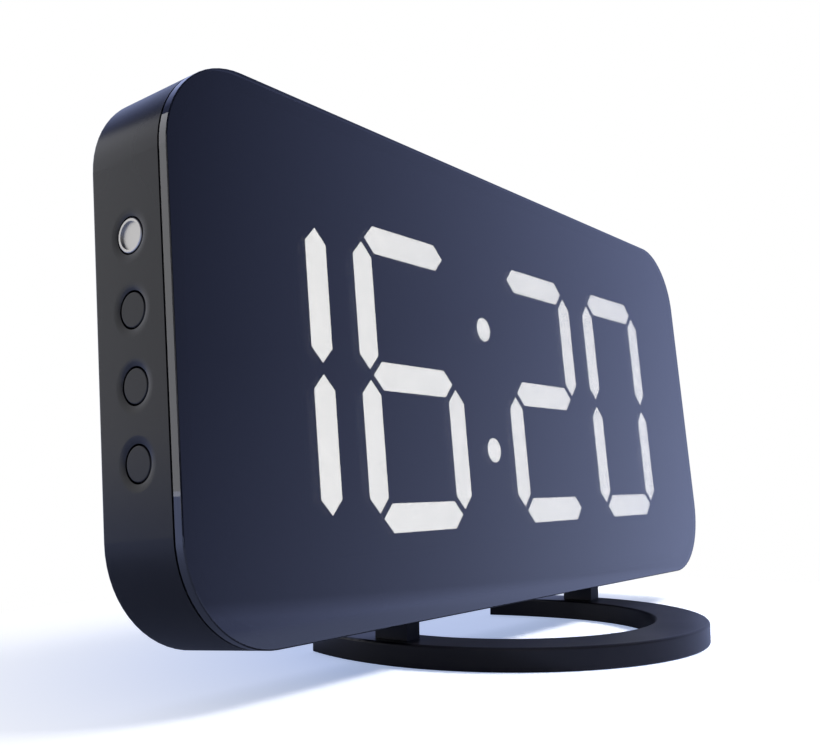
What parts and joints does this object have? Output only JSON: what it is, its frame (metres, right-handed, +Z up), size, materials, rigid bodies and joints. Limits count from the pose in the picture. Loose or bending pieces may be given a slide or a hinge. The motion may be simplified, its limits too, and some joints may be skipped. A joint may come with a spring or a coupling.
{
  "type": "digital mirror alarm clock",
  "caption": "Slim digital alarm clock with a smoked mirror lens, bar digits, side push buttons and a battery cap, leaning back on a flat ring stand that is open at the back.",
  "frame": {"origin": "on the table, under the middle of the stand", "axes": "+X to the right as seen from the front, along the width; -Y out of the front, +Z up"},
  "size_m": [0.186, 0.0624, 0.0968],
  "materials": {
    "stand_black": "satin black moulding",
    "case_grey": "fine satin, dark grey",
    "smoked_lens": "polished smoked acrylic",
    "adhesive": "foam tape",
    "frame_black": "moulded, black",
    "lit_guide": "milky light guide, lit",
    "unlit_guide": "smoky light guide, unlit",
    "circuit_board": "green solder mask",
    "led_resin": "clear resin",
    "chip_resin": "moulded resin",
    "tinned_metal": "tinned",
    "capacitor_can": "drawn can",
    "contact_brass": "stamped",
    "cell_steel": "nickel-plated",
    "screw_steel": "zinc-plated",
    "button_metal": "turned and blasted",
    "button_black": "fine satin, dark grey",
    "plunger_plastic": "moulded"
  },
  "bodies": {
    "clock": {"stand": "stand_black", "housing": "case_grey", "mirror_lens": "smoked_lens", "lens_tape": "adhesive", "segment_frame": "frame_black", "hour_tens_bars": "lit_guide", "hour_units_bars": "lit_guide", "colon_dots": "lit_guide", "minute_tens_bars": "lit_guide", "minute_units_bars": "lit_guide", "dark_bars": "unlit_guide", "display_board": "circuit_board", "segment_leds": "led_resin", "control_chip": "chip_resin", "chip_legs": "tinned_metal", "clock_crystal": "tinned_metal", "capacitors": "capacitor_can", "regulator": "chip_resin", "buzzer": "frame_black", "cell_holder": "frame_black", "cell_contacts": "contact_brass", "coin_cell": "cell_steel", "power_inlet": "tinned_metal", "inlet_tongue": "frame_black", "button_board": "circuit_board", "button_switches": "chip_resin", "link_header": "frame_black", "link_pins": "contact_brass", "board_screws": "screw_steel", "rear_cover": "case_grey", "cover_screws": "screw_steel"},
    "snooze_key": {"snooze_button": "button_metal", "snooze_plunger": "plunger_plastic"},
    "set_key": {"set_button": "button_black", "set_plunger": "plunger_plastic"},
    "up_key": {"up_button": "button_black", "up_plunger": "plunger_plastic"},
    "down_key": {"down_button": "button_black", "down_plunger": "plunger_plastic"},
    "cap": {"battery_cap": "button_black"}
  },
  "joints": [
    {"name": "snooze_press", "type": "slide", "parent": "clock", "child": "snooze_key", "axis": [1, 0, 0], "range_m": [0, 0.0005], "stiffness_N_per_m": 1000},
    {"name": "set_press", "type": "slide", "parent": "clock", "child": "set_key", "axis": [1, 0, 0], "range_m": [0, 0.0005], "stiffness_N_per_m": 1000},
    {"name": "up_press", "type": "slide", "parent": "clock", "child": "up_key", "axis": [1, 0, 0], "range_m": [0, 0.0005], "stiffness_N_per_m": 1000},
    {"name": "down_press", "type": "slide", "parent": "clock", "child": "down_key", "axis": [1, 0, 0], "range_m": [0, 0.0005], "stiffness_N_per_m": 1000},
    {"name": "cap_twist", "type": "hinge", "parent": "clock", "child": "cap", "pos_m": [-0.046, 0.02308, 0.04704], "axis": [0, 0.9965, -0.0837], "range_deg": [0, 45]}
  ]
}
